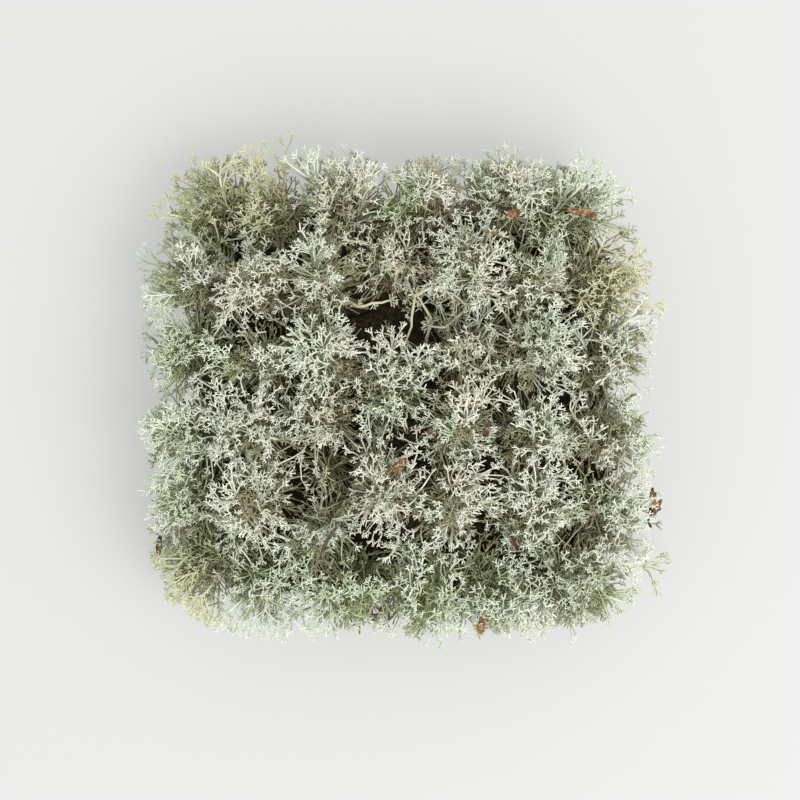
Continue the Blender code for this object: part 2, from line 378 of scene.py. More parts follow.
def humus_finish():
    """Brown-black crumbs, with some rusty and some grey ones."""
    tree, shader, made = finish_of("humus", 0.95, 0.15)
    crumbs = ramp(tree, grain(tree, 700.0, 6.0),
                  ((0.30, (0.020, 0.017, 0.010)), (0.50, (0.052, 0.041, 0.023)),
                   (0.62, (0.11, 0.078, 0.040)), (0.74, (0.16, 0.14, 0.085))))
    tree.links.new(mottled(tree, crumbs, grain(tree, 60.0), 0.7, 1.25), shader.inputs["Base Color"])
    roughened(tree, shader, grain(tree, 900.0, 6.0), 0.6 * MM, 0.9)
    return made


dead_stem_finish = branch_finish("dead_stems", DEAD_TINTS, DEAD_TINTS, DEAD_TINTS,
                                 DEAD_HEART, DEAD_AGES)

mat_low, mat_high = (np.array(corner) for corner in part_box("dead_base_mat"))
mat_middle, mat_half = (mat_low + mat_high) / 2, (mat_high - mat_low) / 2
MAT_TOP = mat_high[2]
MAT_ROUNDING = 0.4  # two over the exponent of its superellipse


def even_turns(chance, count):
    """Turns that stand evenly round the mat's square outline."""
    aside = chance.uniform(-1, 1, count)
    lean = np.arctan(np.abs(aside) ** (1 / MAT_ROUNDING)) * np.sign(aside)
    return lean + chance.integers(0, 4, count) * math.pi / 2


def on_mat(turns, shares):
    """Places over the mat: a turn about its middle, and a share of the way to its rim."""
    x = np.sign(np.cos(turns)) * np.abs(np.cos(turns)) ** MAT_ROUNDING
    y = np.sign(np.sin(turns)) * np.abs(np.sin(turns)) ** MAT_ROUNDING
    return mat_middle[:2] + np.stack([x, y], -1) * mat_half[:2] * shares[:, None]


def set_remesh(passing):
    """Even the slab's faces out, so that its lumps can be fine."""
    remesh = passing.modifiers.new("even", "REMESH")
    remesh.mode = "VOXEL"
    remesh.voxel_size = SLAB_GRAIN


slab = evaluated_as("dead_base_humus", merged_copy("dead_base_mat"), set_remesh)
for vertex in slab.vertices:
    out = vertex.normal.copy()
    lump = noise.fractal(vertex.co * SLAB_LUMP_SCALE, 1.0, 2.0, 3) * SLAB_LUMPS
    hollow = abs(noise.noise(vertex.co * SLAB_HOLLOW_SCALE)) * SLAB_LUMPS
    vertex.co += out * lump - Vector((out.x, out.y, 0)) * hollow
    if out.z < -0.5:
        vertex.co.z = SLAB_CLEAR + hollow * 0.8
    vertex.co.z = max(vertex.co.z, SLAB_CLEAR)
slab.shade_smooth()
slab.materials.append(humus_finish())
put_in_place("dead_base_humus", slab, "dead_base_mat")


def dead_stems(chance, places, headings, lengths, lifts, tints):
    """Bowed dead stems through these places: headings in plan, and how far an end lifts."""
    paths = []
    for place, heading, length, lift, tint in zip(places, headings, lengths, lifts, tints):
        way = np.array((math.cos(heading), math.sin(heading), 0))
        side = np.array((-way[1], way[0], 0)) * chance.uniform(-0.22, 0.22) * length
        radii = np.linspace(*DEAD_STEM_RADII, 4) * chance.uniform(0.7, 1.2)
        points = [place + way * length * (share - 0.5) + side * math.sin(math.pi * share)
                  + UP * lift * share ** 2 for share in (0, 0.33, 0.67, 1)]
        low = min(point[2] for point in points) - radii[0]
        points = [point - UP * min(low, 0) for point in points]
        paths.append({"points": points, "radii": radii, "ages": (0.1, 0.2, 0.3, 0.3),
                      "tint": tint, "sides": 3})
    return paths


def layer_of_stems(chance, layer):
    """Stems that lie in one layer of the mat. Those of the rim's layer run round it."""
    count, inner, outer, bottom, top, lift, palest = MAT_LAYERS[layer]
    turns = even_turns(chance, count)
    shares = np.sqrt(chance.uniform(inner ** 2, outer ** 2, count))
    plan = on_mat(turns, shares)
    height = chance.uniform(bottom, top, count) * MM
    headings = chance.uniform(0, math.tau, count)
    if layer == "rim":
        headings = np.arctan2(plan[:, 1], plan[:, 0]) + math.pi / 2
        headings = headings + chance.normal(0, 0.7, count)
    lengths = chance.uniform(5, 11, count) * MM
    lifts = chance.uniform(0, lift, count) * MM
    tints = chance.uniform(0, 1, count) ** 1.6 * palest
    return dead_stems(chance, np.column_stack([plan, height]), headings, lengths, lifts, tints)


def rising_stems(chance):
    """Bare lower stems that stand up from the mat just inside its rim."""
    shares = chance.uniform(*RISING_SHARES, RISING_STEMS)
    plan = on_mat(even_turns(chance, RISING_STEMS), shares)
    paths = []
    for place, tint in zip(plan, chance.uniform(0.3, 1.0, RISING_STEMS)):
        foot = np.array((*place, MAT_TOP * 0.7))
        rise = np.array((*chance.normal(0, 3.5, 2), chance.uniform(7, 15))) * MM
        bow = np.array((*chance.normal(0, 1.2, 2), 0)) * MM
        paths.append({"points": [foot, foot + rise * 0.5 + bow, foot + rise],
                      "radii": np.linspace(*DEAD_STEM_RADII, 3), "ages": (0.1, 0.2, 0.3),
                      "tint": tint, "sides": 3})
    return paths


def loose_stems(chance):
    """Stems that have come loose and show below the near edge."""
    places = np.column_stack([chance.uniform(*side, LOOSE_STEMS) for side in LOOSE_BOX]) * MM
    return dead_stems(chance, places, chance.normal(-math.pi / 2, 0.75, LOOSE_STEMS),
                      chance.uniform(7, 13, LOOSE_STEMS) * MM,
                      chance.uniform(-2, 4, LOOSE_STEMS) * MM,
                      chance.uniform(0.45, 1.0, LOOSE_STEMS))


felt_chance = np.random.default_rng(71)
felt_paths = [stem for layer in MAT_LAYERS for stem in layer_of_stems(felt_chance, layer)]
felt_paths += rising_stems(felt_chance) + loose_stems(felt_chance)
felt = made_by_nodes("dead_base_stems", paths_mesh("dead_base_stems", felt_paths),
                     Finish=dead_stem_finish)
put_in_place("dead_base_stems", felt, "dead_base_mat")

# The sprigs: each branch of a reindeer lichen ends in a small spray of forked, blunt
# tips, like a tiny antler. A stock of different ones is made once, and set on every branch.
# Their skin is a soft, matt felt of fungus threads over a thin green layer of algae.

SPRIG_KINDS = 12
STALK_RADIUS = 0.26 * MM
ARM_RADIUS = 0.225 * MM
TIP_RADII = (0.215 * MM, 0.15 * MM)
# colours by tint, from the pinkish crowns through the grey ones to the green rim
TIP_TINTS = ((0.0, (0.832, 0.749, 0.604)), (0.14, (0.871, 0.840, 0.721)),
             (0.40, (0.851, 0.870, 0.763)), (0.65, (0.752, 0.799, 0.647)),
             (1.0, (0.625, 0.670, 0.465)))
LIVE_TINTS = ((0.0, (0.556, 0.460, 0.319)), (0.14, (0.628, 0.610, 0.462)),
              (0.40, (0.577, 0.631, 0.495)), (0.65, (0.505, 0.567, 0.341)),
              (1.0, (0.410, 0.455, 0.225)))
OLD_TINTS = ((0.0, (0.453, 0.350, 0.218)), (0.35, (0.433, 0.419, 0.278)),
             (0.6, (0.386, 0.408, 0.223)), (1.0, (0.335, 0.365, 0.165)))
DEAD = (0.035, 0.026, 0.014)
AGES = (0.30, 0.22, 0.62, 0.95)  # where tips end, and old starts, is full, and is dead
lichen_finish = branch_finish("lichen_felt", TIP_TINTS, LIVE_TINTS, OLD_TINTS, DEAD, AGES)


def sideways(axis, turn):
    """A unit vector at right angles to axis, at a turn about it."""
    helper = np.where(np.abs(axis[..., 2:3]) < 0.9, (0.0, 0.0, 1.0), (1.0, 0.0, 0.0))
    first = unit(np.cross(axis, helper))
    second = np.cross(axis, first)
    turn = np.asarray(turn)[..., None]
    return first * np.cos(turn) + second * np.sin(turn)


def tilted(axis, angle, turn):
    """Axis leaned over by an angle, towards a turn about it."""
    angle = np.asarray(angle)[..., None]
    return unit(axis * np.cos(angle) + sideways(axis, turn) * np.sin(angle))


def fork(chance, root, way, base_age, tips):
    """An arm with blunt tips: the first path holds the arm and one tip."""
    knee = root + way * chance.uniform(0.8, 1.25) * MM
    turn = chance.uniform(0, math.tau)
    paths = []
    for number in range(tips):
        turned = turn + number * math.tau / tips + chance.uniform(-0.4, 0.4)
        tip_way = unit(tilted(way, chance.uniform(0.45, 0.8), turned) + 0.25 * UP)
        tip = knee + tip_way * chance.uniform(0.75, 1.2) * MM
        ages = (base_age * 0.5, 0.0)
        if number == 0:
            paths.append({"points": (root, knee, tip), "sides": 3, "tint": 0.0,
                          "radii": (ARM_RADIUS, *TIP_RADII), "ages": (base_age, *ages)})
        else:
            paths.append({"points": (knee, tip), "sides": 3, "tint": 0.0,
                          "radii": TIP_RADII, "ages": ages})
    return paths


def sprig_paths(chance):
    """A short stalk with two or three forked arms at its top and one or two half way."""
    top = np.array((*chance.uniform(-0.45, 0.45, 2), chance.uniform(1.5, 2.1))) * MM
    middle = top * 0.5
    paths = [{"points": (np.zeros(3), top), "sides": 3, "tint": 0.0,
              "radii": (STALK_RADIUS, ARM_RADIUS), "ages": (0.12, 0.07)}]
    turn = chance.uniform(0, math.tau)
    arms = 3 if chance.random() < 0.6 else 2
    for number in range(arms):
        turned = turn + number * math.tau / arms + chance.uniform(-0.5, 0.5)
        paths += fork(chance, top, tilted(UP, chance.uniform(0.35, 0.9), turned), 0.07,
                      3 if chance.random() < 0.2 else 2)
    for number in range(2 if arms == 2 else 1):
        turned = turn + 1.0 + number * 2.4 + chance.uniform(-0.4, 0.4)
        paths += fork(chance, middle, tilted(UP, chance.uniform(0.8, 1.2), turned), 0.09,
                      2 - number)
    return paths


sprig_stock = bpy.data.collections.new("sprig_stock")
for number in range(SPRIG_KINDS):
    chance = np.random.default_rng(500 + number)
    sprig = made_by_nodes(f"sprig_{number}", paths_mesh("sprig", sprig_paths(chance)),
                          Finish=lichen_finish)
    for label in ("tint", "sprig_age", "size", "sides", "heading", "thickness", "OFBake"):
        sprig.attributes.remove(sprig.attributes[label])
    sprig_stock.objects.link(bpy.data.objects.new(f"sprig_{number}", sprig))

# The tufts. Each stands on its own foot in the dead base. Its sprigs share out its part of
# the clump's canopy and open sides, and branches, limbs and stems gather them down to the
# foot. Crowns mesh where they meet, a duller storey grows below, and strays reach out.

CENTRE = (np.array(cad_box[0]) + np.array(cad_box[1]))[:2] / 2
HALF = (np.array(cad_box[1]) - np.array(cad_box[0]))[:2] / 2
RIM_SHARE = 0.82  # of the clump's half width, past which a surface is on its outer side
STEP = 1 * MM  # of the canopy's height map
MARGIN = 12  # its steps beyond the clump
BRIDGED = 10 * MM  # half the width of the widest valley that the canopy closes over
# hollows in the canopy, in mm and degrees: x, y, half length, half width, turn, depth
HOLLOWS = ((-5.5, 24.0, 6.5, 3.1, 5, 44), (12, 22.5, 8, 6.5, 15, 11), (-20, -22.5, 5.5, 3.2, -20, 22),
           (-29, 41, 2.6, 2.2, 0, 18), (-53, 19, 3.0, 2.2, 30, 16), (23, 22, 2.6, 2.2, 0, 16),
           (57, 17, 3.2, 2.2, 80, 14), (30, -7, 3.0, 2.2, 0, 12), (-6, -9, 3.2, 2.0, -30, 12),
           (48, -33, 2.6, 2.0, 20, 12), (-44, -18, 3.0, 2.0, 60, 12), (9, -60, 3.2, 2.2, 90, 14))
CANDIDATES = 2.4 / MM ** 2  # places tried on each piece of surface
LOWEST_CANOPY = 18 * MM
STEEPEST = 3.5  # slope past which a surface is a side and not the canopy
LOWEST_SPRIG = 8 * MM
TIP_SPACING = 1.76 * MM
RIM_SPACING, HOLLOW_SPACING = 2.85 * MM, 4.6 * MM  # on outer sides, and inside the hollows
SPRIG_REACH = 3.2 * MM
WALL_HEIGHTS = (9 * MM, 45 * MM)  # of the clump's outer side
WALL_ROUNDING, WALL_INSET = 0.36, 2.5 * MM
ROOFED = 24 * MM  # the canopy's height where plain branches may spread under it
DEAD_BELOW, DEAD_FADE = 18 * MM, 14 * MM  # heights by which stems are dead, from the ground
WIDEST_NOTCH = 8 * MM  # a place further from every tuft stays empty
TARGETS_PER_LIMB, LIMBS_PER_STEM = 6, 6.5
FORK_DEPTH, STEM_DEPTH = 3.6 * MM, 9.0 * MM  # of the limbs' and stems' ends under the sprigs
STEM_RADII = (0.80 * MM, 0.55 * MM)
LIMB_RADII = (0.52 * MM, 0.33 * MM)
BRANCH_RADII = (0.32 * MM, 0.25 * MM)
SIDE_BRANCH_RADII = (0.36 * MM, 0.22 * MM)
# plain branches that fill the room under the canopy: how many on each limb or stem, the
# shares of its length that they start between, how far they lean, their length and how
# far below the canopy they stay in mm, their bend, how tints vary, and how aged they are
THICKET = {"count": 7, "starts": (0, 0.9), "leans": (0.6, 1.5), "lengths": (4, 8.5),
           "clearance": (3.5, 7), "bend": 0.9, "tint_spread": 0.1, "older": (0.10, 0.34)}
UNDERGROWTH = {"count": 40, "starts": (0.2, 0.95), "leans": (0.7, 1.5), "lengths": (7, 15),
               "clearance": (6, 14), "bend": 1.6, "tint_spread": 0.15, "older": (0.18, 0.45)}
# how far heads, fans and sprigs stand proud of the canopy or lie below it, in mm
STEM_LEVELS, LIMB_LEVELS, SPRIG_LEVELS = (-3.2, 1.2), (-1.8, 1.4), (-0.9, 0.6)
SUNK_SHARE = 0.36  # of the limbs make a duller storey, some way down
SUNK_LEVELS, SUNK_AGES = (-7.5, -3), (0.20, 0.42)
RIM_LEVEL = 2.6
STRAYS, SPRAWLING_STRAYS = (0.15, 2.5), (0.55, 7.0)  # their share of the rim, and reach
TINTS = (0.03, 0.97)
OLDEST = 0.60  # of any branch above the dead base
# the depth over which branches darken fully, partly by age and partly as painted shade
AGE_AND_SHADE_DEPTH = 20 * MM
RIM_LIGHT = (0.70, 0.25)  # how strongly depth darkens the inner branches, and the rim's, by age and by painted shade; less at the lit rim
SWIRL_SCALE = 90  # how many times a metre the heads' lean turns about
LOW_TUFTS = {f"lichen_tuft_{number:02d}" for number in (1, 2, 13, 29, 35, 41)}
LOW_TIPS = ((0.0, (0.84, 0.76, 0.50)), (0.5, (0.76, 0.77, 0.55)), (1.0, (0.60, 0.63, 0.38)))
LOW_LIVE = ((0.0, (0.52, 0.44, 0.24)), (0.5, (0.43, 0.45, 0.26)), (1.0, (0.35, 0.385, 0.17)))
# the arching limbs' starts, knees and ends, in mm
BRIDGES = (((-21, 29, 33), (-13, 25.5, 47), (-3.5, 28.5, 42)),
           ((-1, 37, 34), (7.5, 33, 47), (2.0, 17, 37)),
           ((4.5, 30.0, 41), (11, 35, 45), (19.5, 27.5, 43)),
           ((8, 15, 28), (10, 25, 34), (5, 30, 40)),
           ((22, 30, 30), (16, 20, 40), (9, 21, 36)))
BRIDGE_RADII = (0.60 * MM, 0.32 * MM)
BRIDGE_AGE, BRIDGE_TINT = 0.40, 0.16
# the point of an arch that each of its sprigs grows from, and the sprig's turn about it
BRIDGE_SPRIGS = ((8, 0.4), (8, 2.5), (8, 4.6), (6, 1.2), (4, 3.6), (3, 5.5))
HOLD = 0.5  # how far a sprig under litter reaches past its middle, in mm
SPRAWLING = ("lichen_tuft_01", "lichen_tuft_02", "lichen_tuft_41")
low_finish = branch_finish("shaded_felt", LOW_TIPS, LOW_LIVE, OLD_TINTS, DEAD, AGES)


class Space:
    """The room that one tuft fills: the inside of its solid's flat sides, with its foot
    and the middle of its crown."""

    def __init__(self, node):
        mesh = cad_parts[node].data
        sides = [face for face in mesh.polygons if face.area > 1e-9]
        self.normals = np.array([face.normal for face in sides])
        self.corners = np.array([[mesh.vertices[v].co for v in face.vertices[:3]]
                                 for face in sides])
        self.areas = np.array([face.area for face in sides])
        self.offsets = (self.normals * self.corners[:, 0]).sum(1)
        points = np.array([vertex.co for vertex in mesh.vertices])
        self.low, self.high = points[:, 2].min(), points[:, 2].max()
        foot = points[points[:, 2] < self.low + 0.1 * MM]
        self.foot = foot.mean(0)
        self.foot_reach = np.linalg.norm(foot - self.foot, axis=1).mean()
        waist = self.low + 0.74 * (self.high - self.low)
        self.crown = points[abs(points[:, 2] - waist) < 1 * MM].mean(0)

    def outside(self, places):
        """How far each place is outside the solid."""
        return (places @ self.normals.T - self.offsets).max(-1)

    def tops(self, x, y):
        """The solid's height over each x and y, or 0 beside it."""
        steep = self.normals[:, 2]
        level = self.offsets - x[..., None] * self.normals[:, 0] - y[..., None] * self.normals[:, 1]
        upper, lower = steep > 1e-4, steep < -1e-4
        top = (level[..., upper] / steep[upper]).min(-1)
        bottom = (level[..., lower] / steep[lower]).max(-1)
        return np.where(top > bottom, top, 0)


tuft_names = sorted(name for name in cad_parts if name.startswith("lichen_tuft_"))
spaces = [Space(name) for name in tuft_names]
columns, rows = (np.arange(-int(half / STEP) - MARGIN, int(half / STEP) + MARGIN + 1) * STEP
                 + middle for half, middle in zip(HALF, CENTRE))
grid_x, grid_y = np.meshgrid(columns, rows, indexing="ij")


def over_ball(heights, radius, sign):
    """Heights as a ball of this radius leaves them when it rolls over (1) or under (-1)."""
    reach = int(radius / STEP)
    moved = []
    for i in range(-reach, reach + 1):
        for j in range(-reach, reach + 1):
            flat = (i * i + j * j) * STEP ** 2
            if flat <= radius ** 2:
                drop = math.sqrt(radius ** 2 - flat) - radius
                moved.append(sign * np.roll(heights, (i, j), (0, 1)) + drop)
    return sign * np.max(moved, axis=0)


solid_tops = np.max([space.tops(grid_x, grid_y) for space in spaces], axis=0)
canopy = over_ball(over_ball(solid_tops, BRIDGED, 1), BRIDGED, -1)
for x, y, half_length, half_width, turn, depth in HOLLOWS:
    across_x, across_y = grid_x / MM - x, grid_y / MM - y
    cosine, sine = math.cos(math.radians(turn)), math.sin(math.radians(turn))
    along_it = (across_x * cosine + across_y * sine) / half_length
    over_it = (across_y * cosine - across_x * sine) / half_width
    near = np.clip((1.5 - np.hypot(along_it, over_it)) / 0.8, 0, 1)
    canopy = canopy - depth * MM * near * near * (3 - 2 * near)
canopy = np.maximum(canopy, 0)
slope_x, slope_y = np.gradient(canopy, STEP)


def read_map(heights, places):
    """The map's value at each place, from its nearest step."""
    i = np.rint((places[..., 0] - columns[0]) / STEP).astype(int).clip(0, len(columns) - 1)
    j = np.rint((places[..., 1] - rows[0]) / STEP).astype(int).clip(0, len(rows) - 1)
    return heights[i, j]


def rim_of(places):
    """How near each place is to the clump's outer side: 1 there."""
    return np.abs((places[..., :2] - CENTRE) / HALF).max(-1)


def canopy_places(chance):
    """Places all over the canopy, where it isn't steep, with the way out at each."""
    count = int(HALF.prod() * 4 * CANDIDATES)
    places = np.zeros((count, 3))
    places[:, :2] = CENTRE + chance.uniform(-1.03, 1.03, (count, 2)) * HALF
    places[:, 2] = read_map(canopy, places)
    slopes = np.stack([-read_map(slope_x, places), -read_map(slope_y, places),
                       np.ones(count)], -1)
    level = (places[:, 2] > LOWEST_CANOPY) & (np.linalg.norm(slopes[:, :2], axis=1) < STEEPEST)
    return places[level], unit(slopes[level])


def side_places(chance, space):
    """Places on a tuft's sides that nothing stands close in front of."""
    count = int(space.areas.sum() * CANDIDATES / 2)
    face = chance.choice(len(space.areas), count, p=space.areas / space.areas.sum())
    a, b = chance.random((2, count, 1))
    a, b = np.where(a + b > 1, 1 - a, a), np.where(a + b > 1, 1 - b, b)
    first, second, third = (space.corners[face, k] for k in range(3))
    places = first + a * (second - first) + b * (third - first)
    ways = space.normals[face]
    ahead = np.max([read_map(canopy, places + ways * (1, 1, 0) * reach * MM)
                    for reach in (3, 5, 7)], axis=0)
    open_side = (ahead < places[:, 2] - 1 * MM) & (places[:, 2] > LOWEST_SPRIG)
    open_side &= places[:, 2] < read_map(canopy, places) - 2 * MM
    return places[open_side], unit(ways[open_side] + 0.25 * UP)


def wall_places(chance):
    """Places round the clump's outer side, in the notches between its tufts."""
    count = int(HALF.sum() * 4 * (WALL_HEIGHTS[1] - WALL_HEIGHTS[0]) * CANDIDATES / 2)
    turns = chance.uniform(0, math.tau, count)
    round_it = np.stack([np.cos(turns), np.sin(turns)], -1)
    plan = np.sign(round_it) * np.abs(round_it) ** WALL_ROUNDING
    height = chance.uniform(*WALL_HEIGHTS, count)
    bulge = (2 * height - sum(WALL_HEIGHTS)) / (WALL_HEIGHTS[1] - WALL_HEIGHTS[0])
    reach = (HALF - WALL_INSET) * (1 - 0.04 * bulge[:, None] ** 2)
    places = np.column_stack([CENTRE + plan * reach, height])
    outward = np.sign(round_it) * np.abs(round_it) ** (2 - WALL_ROUNDING)
    ways = unit(np.column_stack([outward, 0.3 + 0.4 * bulge]))
    gap = np.min([space.outside(places) for space in spaces], axis=0)
    notch = (gap > -1 * MM) & (gap < WIDEST_NOTCH)
    return places[notch], ways[notch]


def thinned(places, spacing):
    """The numbers of places that are left when none is closer to another than its spacing."""
    chosen = np.zeros((len(places), 3))
    numbers = []
    for number, place in enumerate(places):
        apart = ((chosen[:len(numbers)] - place) ** 2).sum(1)
        if not (apart < spacing[number] ** 2).any():
            chosen[len(numbers)] = place
            numbers.append(number)
    return np.array(numbers)


def lie_of(node):
    """Where a piece of litter lies: its middle, and its long, broad and thin ways with
    half its size along each."""
    points = np.array([vertex.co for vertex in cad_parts[node].data.vertices])
    middle = (points.max(0) + points.min(0)) / 2
    ways = np.linalg.eigh(np.cov((points - middle).T))[1].T[::-1]
    ways = [way if way[np.abs(way).argmax()] > 0 else -way for way in ways]
    reach = [np.abs((points - middle) @ way).max() for way in ways]
    return middle, ways, reach


def holding_places():
    """Places on the litter, for the sprigs that hold it up."""
    places = []
    for node in sorted(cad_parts):
        if not node.startswith(("lichen_tuft_", "dead_base")):
            middle, ways, reach = lie_of(node)
            places += [middle + ways[0] * reach[0] * share for share in (-0.7, -0.2, 0.3, 0.8)]
    return np.array(places)


def shared_targets():
    """All the sprigs' places, the way out at each, the tuft that each belongs to, and
    which of them hold litter."""
    chance = np.random.default_rng(31)
    pairs = [canopy_places(chance)] + [side_places(chance, space) for space in spaces]
    pairs.append(wall_places(chance))
    places, ways = (np.concatenate(both) for both in zip(*pairs))
    on_side = np.arange(len(places)) >= len(pairs[0][0])
    order = chance.permutation(len(places))
    places, ways, on_side = places[order], ways[order], on_side[order]
    side = np.where(rim_of(places) > RIM_SHARE, RIM_SPACING, HOLLOW_SPACING)
    spacing = np.where(on_side, side, TIP_SPACING)
    spacing = spacing + 0.5 * MM * np.clip(rim_of(places) - 0.9, 0, 0.1) * 10
    kept = thinned(places, spacing)
    holding = holding_places()
    held = np.arange(len(kept) + len(holding)) >= len(kept)
    places = np.concatenate([places[kept], holding])
    ways = np.concatenate([ways[kept], np.tile(UP, (len(holding), 1))])
    distances = np.stack([space.outside(places) for space in spaces], -1)
    owner = (distances + chance.normal(0, 1.6 * MM, distances.shape)).argmin(-1)
    return places, ways, owner, held


def kept_under(chance, starts, tips, clearance):
    """Branches from starts to tips, their tips kept a while below the canopy. One that
    would leave the clump stays short."""
    roofed = read_map(canopy, tips) > ROOFED
    tips = np.where(roofed[:, None], tips, starts + (tips - starts) * 0.4)
    ceiling = read_map(canopy, tips) - chance.uniform(*clearance, len(tips)) * MM
    tips[:, 2] = np.where(roofed, np.minimum(tips[:, 2], ceiling), tips[:, 2])
    return tips


def age_and_shade_at(places, space):
    """0 at the clump's surface to 1 in the dead base: darker with depth inside the tuft and below the
    canopy, partly real ageing and partly painted shade, which is weaker at the lit rim, and dead near
    the ground.
    """
    inside = np.maximum(-space.outside(places), 0)
    below = np.maximum(read_map(canopy, places) - places[..., 2] - 1 * MM, 0)
    by_rim = np.clip((rim_of(places) - 0.80) / 0.15, 0, 1)
    weight = RIM_LIGHT[0] + (RIM_LIGHT[1] - RIM_LIGHT[0]) * by_rim
    dying = np.clip((DEAD_BELOW - places[..., 2]) / DEAD_FADE, 0, 1)
    return np.clip((0.3 * inside + weight * below) / AGE_AND_SHADE_DEPTH + 0.55 * dying, 0, 1)


def shared_out(chance, points, count):
    """Groups of neighbouring points: each point's group, and each group's middle."""
    count = max(1, min(count, len(points)))
    middles = points[chance.choice(len(points), count, replace=False)]
    for _ in range(6):
        group = np.linalg.norm(points[:, None] - middles[None], axis=2).argmin(1)
        used = np.unique(group)
        group = np.searchsorted(used, group)
        middles = np.array([points[group == k].mean(0) for k in range(len(used))])
    return group, middles


def bowed(starts, knees, ends, count):
    """Smooth paths of count points from starts to ends, drawn towards knees."""
    share = np.linspace(0, 1, count)[None, :, None]
    return ((1 - share) ** 2 * starts[:, None] + 2 * share * (1 - share) * knees[:, None]
            + share ** 2 * ends[:, None])


def along(paths, shares):
    """The points at a share of each path's length, and the path's way there."""
    count = paths.shape[1] - 1
    place = np.clip(shares * count, 0, count - 1e-6)
    lower = place.astype(int)
    number = np.arange(len(paths))
    a, b = paths[number, lower], paths[number, lower + 1]
    return a + (b - a) * (place - lower)[:, None], unit(b - a)


def laid_out(points, radii, sides, space, tints, older=0.0):
    """The rows of one generation as paths, older than their depth says by a share; the depth gives
    age and painted shade together.
    """
    thickness = np.linspace(radii[0], radii[1], points.shape[1])
    ages = age_and_shade_at(points, space) + np.reshape(older, (-1, 1))
    ages = np.minimum(ages, OLDEST + 0.35 * (points[..., 2] < DEAD_BELOW / 2))
    return [{"points": row, "radii": thickness, "ages": age, "tint": tint, "sides": sides}
            for row, age, tint in zip(points, ages, tints)]


def mean_way(ways, groups):
    """Each group's mean way out."""
    return unit(np.array([ways[groups == k].mean(0) for k in range(groups.max() + 1)]))


def knees_between(chance, starts, way, ends, pulls, wobble):
    """Where paths bend that leave along a way and then turn towards their ends."""
    reach = ends - starts
    length = np.linalg.norm(reach, axis=1, keepdims=True)
    knees = starts + (way * pulls[0] + unit(reach) * pulls[1]) * length * pulls[1]
    return knees + chance.normal(0, wobble, reach.shape) * length


def side_branches(chance, plan, parents, tints, older, space):
    """Plain branches all along their parents, which stay below the canopy."""
    parent = np.repeat(np.arange(len(parents)), plan["count"])
    count = len(parent)
    starts, way = along(parents[parent], chance.uniform(*plan["starts"], count))
    aside = tilted(way, chance.uniform(*plan["leans"], count), chance.uniform(0, math.tau, count))
    tips = starts + (aside + 0.35 * UP) * chance.uniform(*plan["lengths"], (count, 1)) * MM
    tips = kept_under(chance, starts, tips, plan["clearance"])
    knees = (starts + tips) / 2 + chance.normal(0, plan["bend"], tips.shape) * MM
    tints = np.clip(tints[parent] + chance.normal(0, plan["tint_spread"], count), *TINTS)
    older = chance.uniform(*plan["older"], count) + older[parent] * 0.5
    return laid_out(bowed(starts, knees, tips, 3), SIDE_BRANCH_RADII, 3, space, tints, older)


